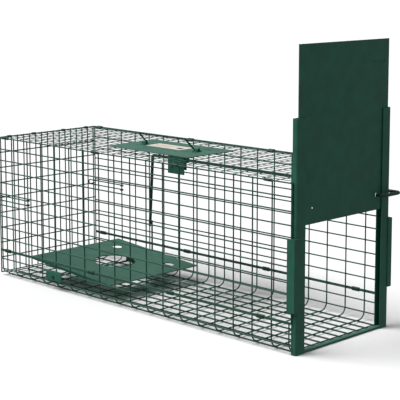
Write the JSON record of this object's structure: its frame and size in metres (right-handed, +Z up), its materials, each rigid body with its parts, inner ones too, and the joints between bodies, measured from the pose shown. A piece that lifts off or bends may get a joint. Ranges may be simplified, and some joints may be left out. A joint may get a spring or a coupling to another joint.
{
  "type": "live catch trap",
  "caption": "Welded-mesh live catch trap with a drop door in rails, a treadle on an axle, a side trigger rod, a hinged rear panel with hairpin latches and a carrying bail.",
  "frame": {"origin": "centre of the front sill's underside, on the ground, midway between the two door rails", "axes": "+X along the cage and out of the entrance, +Y to the side that carries the trigger rod, +Z up"},
  "size_m": [0.677, 0.2211, 0.413],
  "materials": {
    "mesh_wire": "satin green powder coat",
    "sheet": "satin green powder coat",
    "rod": "satin green powder coat",
    "paper": "printed film"
  },
  "bodies": {
    "cage": {"floor_mesh": "mesh_wire", "near_wall_mesh": "mesh_wire", "far_wall_mesh": "mesh_wire", "top_mesh": "mesh_wire", "near_top_clips": "sheet", "far_top_clips": "sheet", "near_seam_clips": "sheet", "far_seam_clips": "sheet", "near_rail": "sheet", "far_rail": "sheet", "near_rail_clamp": "sheet", "far_rail_clamp": "sheet", "front_sill": "sheet", "hand_plate": "sheet", "bail_eyes": "sheet", "label": "paper", "near_axle_bearing": "sheet", "far_axle_bearing": "sheet", "trigger_guide_plate": "sheet", "trigger_guide_saddle": "sheet", "front_rod_guide": "sheet", "guide_rivets": "sheet"},
    "rear_door": {"rear_door_mesh": "mesh_wire", "rear_hinge_clips": "sheet"},
    "near_latch": {"near_latch": "mesh_wire"},
    "far_latch": {"far_latch": "mesh_wire"},
    "front_door": {"door_plate": "sheet"},
    "trigger": {"trigger_rod": "rod"},
    "treadle": {"treadle_plate": "sheet", "treadle_brackets": "sheet", "treadle_axle": "mesh_wire"},
    "handle": {"handle_bail": "rod"}
  },
  "joints": [
    {"name": "rear_door_hinge", "type": "hinge", "parent": "cage", "child": "rear_door", "pos_m": [-0.637, 0, 0.2319], "axis": [0, 1, 0], "range_deg": [0, 110]},
    {"name": "near_latch_hinge", "type": "hinge", "parent": "cage", "child": "near_latch", "pos_m": [-0.56644, -0.1015, 0.13125], "axis": [0, 0, 1], "range_deg": [0, 120]},
    {"name": "far_latch_hinge", "type": "hinge", "parent": "cage", "child": "far_latch", "pos_m": [-0.56644, 0.1015, 0.13125], "axis": [0, 0, -1], "range_deg": [0, 120]},
    {"name": "door_slide", "type": "slide", "parent": "cage", "child": "front_door", "axis": [0, 0, 1], "range_m": [-0.17, 0.03]},
    {"name": "trigger_hinge", "type": "hinge", "parent": "cage", "child": "trigger", "pos_m": [-0.25, 0.1096, 0.195], "axis": [1, 0, 0], "range_deg": [0, 25]},
    {"name": "treadle_hinge", "type": "hinge", "parent": "cage", "child": "treadle", "pos_m": [-0.4988, 0, 0.021], "axis": [0, 1, 0], "range_deg": [0, 8]},
    {"name": "bail_hinge", "type": "hinge", "parent": "cage", "child": "handle", "pos_m": [-0.3385, 0, 0.2376], "axis": [1, 0, 0], "range_deg": [-129, 35]}
  ]
}
